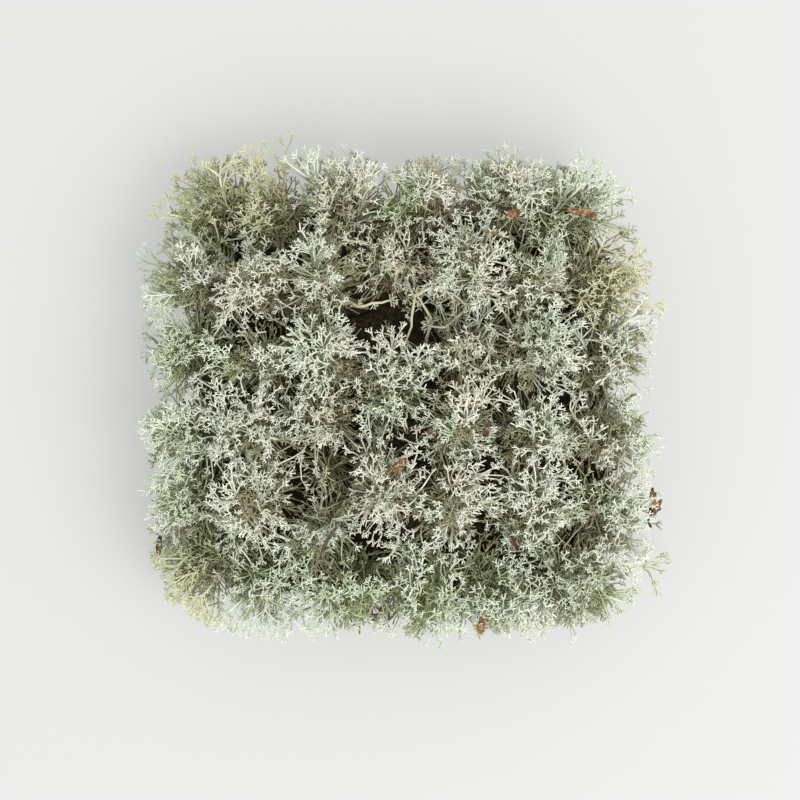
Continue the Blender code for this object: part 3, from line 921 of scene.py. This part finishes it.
class Tuft:
    """One tuft as it grows: its sprigs are gathered into limbs and stems, and then its
    paths are drawn from the foot outwards."""

    def __init__(self, number, name, places, ways, held):
        self.chance = np.random.default_rng(1000 + number)
        self.space, self.sprawls = spaces[number], name in SPRAWLING
        self.places, self.held = places, held
        self.gather(ways)
        self.set_ends()
        self.paths = self.stem_paths() + self.limb_paths()
        self.paths += side_branches(self.chance, THICKET, self.limbs, self.limb_tints,
                                    self.limb_older, self.space)
        self.paths += side_branches(self.chance, UNDERGROWTH, self.stems, self.stem_tints,
                                    np.zeros(len(self.stems)), self.space)
        self.paths += self.branch_paths()
        self.sprigs = self.sprigs_on_branches()

    def gather(self, ways):
        """Neighbouring sprigs share a limb, and neighbouring limbs a stem."""
        splay = unit((self.places - self.space.crown) * (1, 1, 0) + 1e-6)
        swirl = np.array([noise.noise_vector(Vector(place) * SWIRL_SCALE)
                          for place in self.places])
        leans = 0.15 * splay + swirl * (1.1, 1.1, 0.3)
        self.ways = unit(ways + leans * ~self.held[:, None])
        self.limb_of, self.limb_middles = shared_out(
            self.chance, self.places, round(len(self.places) / TARGETS_PER_LIMB))
        self.stem_of, self.stem_middles = shared_out(
            self.chance, self.limb_middles, max(3, round(len(self.limb_middles) / LIMBS_PER_STEM)))
        self.limb_ways = mean_way(self.ways, self.limb_of)
        self.stem_ways = mean_way(self.limb_ways, self.stem_of)

    def set_ends(self):
        """Where stems, limbs and branches end, each at its own level by the canopy."""
        chance, limbs = self.chance, len(self.limb_middles)
        stem_levels = chance.uniform(*STEM_LEVELS, len(self.stem_middles))
        sunk = chance.random(limbs) < SUNK_SHARE
        limb_levels = stem_levels[self.stem_of] + np.where(
            sunk, chance.uniform(*SUNK_LEVELS, limbs), chance.uniform(*LIMB_LEVELS, limbs))
        self.limb_older = sunk * chance.uniform(*SUNK_AGES, limbs)
        self.limb_older += chance.uniform(-0.05, 0.06, limbs)
        outer = (rim_of(self.limb_middles) > RIM_SHARE) & (np.abs(self.limb_ways[:, 2]) < 0.75)
        stray_share, stray_reach = SPRAWLING_STRAYS if self.sprawls else STRAYS
        strays = outer & (chance.random(limbs) < stray_share)
        limb_levels += outer * RIM_LEVEL + strays * chance.uniform(1.0, stray_reach, limbs)
        levels = limb_levels[self.limb_of] + chance.uniform(*SPRIG_LEVELS, len(self.places))
        levels = np.where(self.held, HOLD, levels)
        self.ends = self.places + self.ways * (levels * MM - SPRIG_REACH)[:, None]
        depth = (limb_levels * MM - SPRIG_REACH - FORK_DEPTH)[:, None]
        self.limb_ends = self.limb_middles + self.limb_ways * depth
        depth = (stem_levels * MM - SPRIG_REACH - STEM_DEPTH)[:, None]
        self.stem_ends = self.stem_middles + self.stem_ways * depth
        self.stem_ends[:, 2] = np.maximum(self.stem_ends[:, 2], self.space.low + 4 * MM)

    def stem_paths(self):
        """Stems rise from the dead base round the foot, and wave a little."""
        chance, space, ends = self.chance, self.space, self.stem_ends
        count = len(ends)
        lean = unit(ends - space.foot + 1e-6) * (1, 1, 0)
        starts = space.foot + lean * space.foot_reach * chance.uniform(0.2, 0.7, (count, 1))
        starts[:, 2] = MAT_TOP * 0.6
        knees = starts + (ends - starts) * (0.15, 0.15, 0.7)
        knees += chance.uniform(-2.5, 2.5, (count, 3)) * MM
        share = np.linspace(0, 1, 8)[None, :, None]
        waves = np.sin(share * 9 + chance.uniform(0, 6, (count, 1, 3))) * share * (1 - share)
        self.stems = bowed(starts, knees, ends, 8) + waves * (2.0 * MM, 2.0 * MM, 0)
        edge = np.clip((rim_of(space.crown) - 0.45) / 0.5, 0, 1)
        outside = -space.crown[:2] / HALF  # towards the left and the near edge
        greener = np.clip((outside.max() - 0.6) / 0.3, 0, 1)
        tint = 0.32 + 0.12 * edge + 0.16 * greener + chance.normal(0, 0.04)
        self.stem_tints = np.clip(tint + chance.normal(0, 0.08, count), 0.20, TINTS[1])
        return laid_out(self.stems, STEM_RADII, 6, space, self.stem_tints)

    def limb_paths(self):
        """Limbs leave the stems' upper parts. One that reaches far leaves lower down."""
        chance, ends = self.chance, self.limb_ends
        count = len(ends)
        apart = np.linalg.norm(ends - self.stem_ends[self.stem_of], axis=1) / MM
        shares = np.clip(1 - 0.035 * apart - chance.uniform(0, 0.08, count), 0.4, 1)
        starts, way = along(self.stems[self.stem_of], shares)
        knees = knees_between(chance, starts, way, ends, (0.45, 0.55), 0.09)
        self.limbs = bowed(starts, knees, ends, 6)
        tints = self.stem_tints[self.stem_of] + chance.normal(0, 0.06, count)
        self.limb_tints = np.clip(tints, *TINTS)
        return laid_out(self.limbs, LIMB_RADII, 5, self.space, self.limb_tints, self.limb_older)

    def branch_paths(self):
        """A branch from its limb to every sprig, and short ones of a lower storey, which
        leave from further back."""
        chance, upper = self.chance, len(self.limb_of)
        lower = np.repeat(np.arange(len(self.limbs)), 2)[: int(len(self.limbs) * 0.8)]
        self.on_limb = np.concatenate([self.limb_of, lower])
        shares = np.concatenate([chance.uniform(0.55, 1.25, upper).clip(0, 1),
                                 chance.uniform(0.2, 0.75, len(lower))])
        starts, way = along(self.limbs[self.on_limb], shares)
        drop = tilted(way[upper:], chance.uniform(0.6, 1.3, len(lower)),
                      chance.uniform(0, math.tau, len(lower)))
        low_reach = (drop + 0.3 * UP) * chance.uniform(2.5, 5.5, (len(lower), 1)) * MM
        self.ends = np.concatenate([self.ends, starts[upper:] + low_reach])
        self.outward = np.concatenate([self.ways, 0.5 * drop])
        knees = knees_between(chance, starts, way, self.ends, (0.5, 0.5), 0.08)
        self.branches = bowed(starts, knees, self.ends, 4)
        tints = self.limb_tints[self.on_limb] + chance.normal(0, 0.03, len(self.ends))
        self.tints = np.clip(tints, *TINTS)
        return laid_out(self.branches, BRANCH_RADII, 3, self.space, self.tints,
                        self.limb_older[self.on_limb])

    def sprigs_on_branches(self):
        """A sprig on every branch's end, aged and shaded by depth. The lower ones are older, and
        those in hollows are darker by painted shade.
        """
        chance, ends, upper = self.chance, self.ends, len(self.limb_of)
        headings = unit(unit(ends - self.branches[:, -2]) + 0.55 * self.outward + 0.2 * UP
                        + chance.normal(0, 0.2, ends.shape))
        ages = age_and_shade_at(ends + headings * SPRIG_REACH * 0.7, self.space) * 0.9
        ages = ages + self.limb_older[self.on_limb]
        ages[upper:] += chance.uniform(0.08, 0.28, len(ends) - upper)
        # darker sprigs low in the hollows inside the clump: painted shade
        hollow = (ends[:, 2] < 0.7 * self.space.high) & (rim_of(ends) < RIM_SHARE)
        ages += hollow * chance.uniform(0.10, 0.30, len(ends))
        ages = np.clip(ages, 0, OLDEST)
        sizes = chance.uniform(0.8, 1.15, len(ends))
        return [{"place": place, "heading": heading, "age": age, "tint": tint, "size": size}
                for place, heading, age, tint, size in zip(ends, headings, ages, self.tints, sizes)]


def bridge_paths(number):
    """The limbs that arch over the main hollow, of those that grow from this tuft."""
    paths, sprigs = [], []
    for corners in BRIDGES:
        start, knee, end = (np.array(corner) * MM for corner in corners)
        if np.argmin([space.outside((start + knee) / 2) for space in spaces]) != number:
            continue
        arch = bowed(start[None], knee[None], end[None], 9)[0]
        bends = np.array([noise.noise_vector(Vector(place) * 240) for place in arch])
        arch = arch + bends * np.sin(np.linspace(0, math.pi, 9))[:, None] * 2.4 * MM
        paths.append({"points": arch, "radii": np.linspace(*BRIDGE_RADII, 9), "sides": 5,
                      "ages": np.full(9, BRIDGE_AGE), "tint": BRIDGE_TINT})
        way = unit(arch[-1] - arch[-3])
        for place, turn in BRIDGE_SPRIGS:
            heading = tilted(way, 0.6 if place == 8 else 1.1, turn)
            sprigs.append({"place": arch[place], "heading": unit(heading + 0.4 * UP),
                           "age": BRIDGE_AGE * 0.6, "tint": BRIDGE_TINT, "size": 0.8})
    return paths, sprigs


target_places, target_ways, owners, holds = shared_targets()
for number, name in enumerate(tuft_names):
    own = owners == number
    tuft = Tuft(number, name, target_places[own], target_ways[own], holds[own])
    arches, arch_sprigs = bridge_paths(number)
    piece_name = name.replace("lichen_tuft", "lichen_branches")
    skeleton = paths_mesh(piece_name, tuft.paths + arches, tuft.sprigs + arch_sprigs)
    grown = made_by_nodes(piece_name, skeleton, Sprig_kinds=sprig_stock, Sprig_size=1.0,
                          Seed=number, Finish=low_finish if name in LOW_TUFTS else lichen_finish)
    put_in_place(piece_name, grown, name)

# The dry leaf litter: fallen spruce needles, torn scraps of birch leaf and a leaf's stalk,
# all of them brown and brittle. They fell on the lichen and were caught between its
# branches, so most lie half sunk in the crowns, and the stalk hangs on the outside.

FINEST = 0.9 * MM  # the longest edge that litter keeps
BEND_SCALE, PIT_SCALE = 190, 1300  # how many times a metre bends and pits come back
LEAF_THICKNESS = 0.30 * MM
LEAF_POINTS = (13, 7)  # along a sheet, and across it
NEEDLE_COLOURS = ((0.30, (0.050, 0.034, 0.014)), (0.50, (0.15, 0.105, 0.040)),
                  (0.70, (0.26, 0.17, 0.060)))
LEAF_COLOURS = ((0.32, (0.050, 0.022, 0.010)), (0.46, (0.15, 0.064, 0.020)),
                (0.57, (0.27, 0.115, 0.034)), (0.70, (0.36, 0.22, 0.10)))
STALK_COLOURS = ((0.30, (0.020, 0.012, 0.008)), (0.70, (0.085, 0.048, 0.026)))


def dry_finish(name, stops, scale, roughness):
    """Dry plant skin: browned in patches, finely ribbed."""
    tree, shader, made = finish_of(name, roughness, 0.35)
    patches = ramp(tree, grain(tree, scale, 5.0), stops)
    tree.links.new(mottled(tree, patches, grain(tree, scale * 4), 0.7, 1.25),
                   shader.inputs["Base Color"])
    roughened(tree, shader, grain(tree, scale * 6, 4.0), 0.08 * MM, 0.7)
    return made


def weathered(name, node, finish, crumple, fine):
    """A CAD piece of litter, cut finer, then bent out of true and finely pitted."""
    mesh = merged_copy(node)
    bm = bmesh.new()
    bm.from_mesh(mesh)
    for _ in range(8):
        long_edges = [edge for edge in bm.edges if edge.calc_length() > FINEST]
        if not long_edges:
            break
        bmesh.ops.subdivide_edges(bm, edges=long_edges, cuts=1)
        bmesh.ops.triangulate(bm, faces=bm.faces)
    for vertex in bm.verts:
        bend = noise.noise_vector(vertex.co * BEND_SCALE) * crumple
        vertex.co += bend + noise.noise_vector(vertex.co * PIT_SCALE) * fine
    bm.to_mesh(mesh)
    bm.free()
    mesh.shade_smooth()
    mesh.materials.append(finish)
    put_in_place(name, mesh, node)


def leaf_sheet(middle, ways, reach, curl, pointed):
    """A thin closed sheet with a torn outline, cupped across and curled at its end."""
    long_way, broad_way, thin_way = ways
    along_it, across = LEAF_POINTS
    corners = []
    for side in (1, -1):
        for i in range(along_it):
            share = i / (along_it - 1)
            profile = math.sin(math.pi * (0.08 + 0.84 * share)) ** (0.9 if pointed else 0.45)
            torn = 1 + 0.28 * noise.noise(Vector((share * 9, middle[0] * 900, middle[1] * 900)))
            for j in range(across):
                aside = (j / (across - 1) * 2 - 1) * profile * torn
                cup = curl * (aside ** 2 - 0.4) + curl * 1.3 * max(0, share - 0.6) ** 1.5 * 4
                ripple = 0.35 * noise.noise(Vector((share * 5, aside * 2, middle[0] * 700)))
                lift = (cup + ripple) * reach[1]
                lift = lift + side * LEAF_THICKNESS / 2 * (1 - 0.5 * abs(aside))
                corners.append(middle + long_way * reach[0] * (share * 2 - 1)
                               + broad_way * reach[1] * aside + thin_way * lift)
    faces = []
    layer = along_it * across
    for i in range(along_it - 1):
        for j in range(across - 1):
            a, b = i * across + j, i * across + j + 1
            faces.append((a, a + across, b + across, b))
            faces.append((layer + a, layer + b, layer + b + across, layer + a + across))
    ring = ([i * across for i in range(along_it)]
            + [(along_it - 1) * across + j for j in range(1, across)]
            + [i * across + across - 1 for i in range(along_it - 2, -1, -1)]
            + [j for j in range(across - 2, 0, -1)])
    for a, b in zip(ring, ring[1:] + ring[:1]):
        faces.append((a, layer + a, layer + b, b))
    mesh = bpy.data.meshes.new("leaf")
    mesh.from_pydata([tuple(corner) for corner in corners], [], faces)
    bm = bmesh.new()
    bm.from_mesh(mesh)
    bmesh.ops.triangulate(bm, faces=bm.faces)
    bmesh.ops.recalc_face_normals(bm, faces=bm.faces)
    bm.to_mesh(mesh)
    bm.free()
    mesh.shade_smooth()
    return mesh


needle_finish = dry_finish("dry_needle", NEEDLE_COLOURS, 500.0, 0.5)
leaf_finish = dry_finish("dry_leaf", LEAF_COLOURS, 420.0, 0.6)
stalk_finish = dry_finish("leaf_stalk", STALK_COLOURS, 600.0, 0.5)
for name in sorted(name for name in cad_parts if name.startswith("needle_")):
    weathered("spruce_" + name, name, needle_finish, 0.5 * MM, 0.08 * MM)
for name in sorted(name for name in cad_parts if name.startswith("leaf_scrap_")):
    torn_leaf = leaf_sheet(*lie_of(name), 0.55, False)
    torn_leaf.materials.append(leaf_finish)
    put_in_place("torn_" + name, torn_leaf, name)

weathered("dry_leaf_stalk", "leaf_stalk", stalk_finish, 0.9 * MM, 0.15 * MM)
stalk_middle, stalk_ways, stalk_reach = lie_of("leaf_stalk")
stalk_end = 0.8 if stalk_ways[0][1] > 0 else -0.8
stalk_top = stalk_middle + stalk_ways[0] * stalk_reach[0] * stalk_end
# what is left of the leaf: how far from the stalk's top, half length and width in mm, turn
LEAF_REMAINS = (((-0.6, -1.4, 0.4), 4.0, 1.3, 1.8), ((0.8, -3.2, 0.2), 2.6, 1.0, 1.3))
for number, (shift, length, width, turn) in enumerate(LEAF_REMAINS):
    long_way = unit(np.array((math.cos(turn), math.sin(turn), 0.25)))
    thin_way = unit(np.cross(long_way, (0.5, 0.1, 0.6)))
    ways = (long_way, unit(np.cross(thin_way, long_way)), thin_way)
    remains = leaf_sheet(stalk_top + np.array(shift) * MM, ways, (length * MM, width * MM),
                         1.1, True)
    remains.materials.append(leaf_finish)
    put_in_place(f"leaf_remains_{number + 1}", remains, "leaf_stalk")

# The bark litter: flakes of bark, bud scales and a twig, dropped by the trees above. The
# flakes are layered cork, the scales are shiny and cupped, and the twig still has its bark.

FLAKE_COLOURS = ((0.34, (0.016, 0.009, 0.006)), (0.47, (0.055, 0.026, 0.015)),
                 (0.58, (0.12, 0.060, 0.032)), (0.66, (0.20, 0.15, 0.10)))
SCALE_COLOURS = ((0.30, (0.035, 0.014, 0.007)), (0.70, (0.17, 0.072, 0.026)))
TWIG_COLOURS = ((0.30, (0.030, 0.022, 0.016)), (0.52, (0.095, 0.070, 0.050)),
                (0.72, (0.20, 0.17, 0.13)))
flake_finish = dry_finish("bark_flake", FLAKE_COLOURS, 520.0, 0.85)
scale_finish = dry_finish("bud_scale", SCALE_COLOURS, 380.0, 0.32)
twig_finish = dry_finish("twig_bark", TWIG_COLOURS, 460.0, 0.85)
for name in sorted(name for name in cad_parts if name.startswith("bark_flake_")):
    weathered("cork_" + name, name, flake_finish, 1.0 * MM, 0.45 * MM)
for name in sorted(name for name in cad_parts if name.startswith("bud_scale_")):
    cupped = leaf_sheet(*lie_of(name), 0.7, True)
    cupped.materials.append(scale_finish)
    put_in_place("cupped_" + name, cupped, name)
weathered("fallen_twig", "twig", twig_finish, 0.8 * MM, 0.16 * MM)
# The table and the light: a plain pale light table, whose own glow thins the shadows, a
# wide soft light from the near right, and a fill from all round.

ground_mesh = bpy.data.meshes.new("ground")
ground_mesh.from_pydata([(-3, -3, 0), (3, -3, 0), (3, 3, 0), (-3, 3, 0)], [], [(0, 1, 2, 3)])
ground = bpy.data.objects.new("ground", ground_mesh)
bpy.context.scene.collection.objects.link(ground)
paper_shader, paper = finish_of("pale_paper", 0.9, 0.3)[1:]
paper_shader.inputs["Base Color"].default_value = (0.32, 0.32, 0.317, 1)
paper_shader.inputs["Emission Color"].default_value = (0.99, 1.0, 0.985, 1)
paper_shader.inputs["Emission Strength"].default_value = 0.36  # the table's own glow
ground_mesh.materials.append(paper)

world = bpy.data.worlds.new("studio")
bpy.context.scene.world = world
world.use_nodes = True
world.node_tree.nodes["Background"].inputs["Color"].default_value = (0.97, 1.0, 0.98, 1)
world.node_tree.nodes["Background"].inputs["Strength"].default_value = 0.97

WINDOW_PLACE = (0.45, -0.40, 1.0)
window_light = bpy.data.lights.new("window", "AREA")
window_light.shape = "DISK"
window_light.size = 0.8
window_light.energy = 9.8
window = bpy.data.objects.new("window", window_light)
window.location = WINDOW_PLACE
window.rotation_euler = Vector(WINDOW_PLACE).to_track_quat("Z", "Y").to_euler()
bpy.context.scene.collection.objects.link(window)

CAMERA_HEIGHT = 0.80
CAMERA_OFFSET = -0.0015  # towards the clump's near edge
SEEN_WIDTH = 0.240
crown_height = cad_box[1][2] * 0.85
lens = bpy.data.cameras.new("camera")
lens.sensor_width = 36
lens.lens = lens.sensor_width * (CAMERA_HEIGHT - crown_height) / SEEN_WIDTH
camera = bpy.data.objects.new("camera", lens)
camera.location = (0, CAMERA_OFFSET, CAMERA_HEIGHT)
bpy.context.scene.collection.objects.link(camera)
bpy.context.scene.camera = camera
bpy.context.scene.view_settings.view_transform = "Standard"
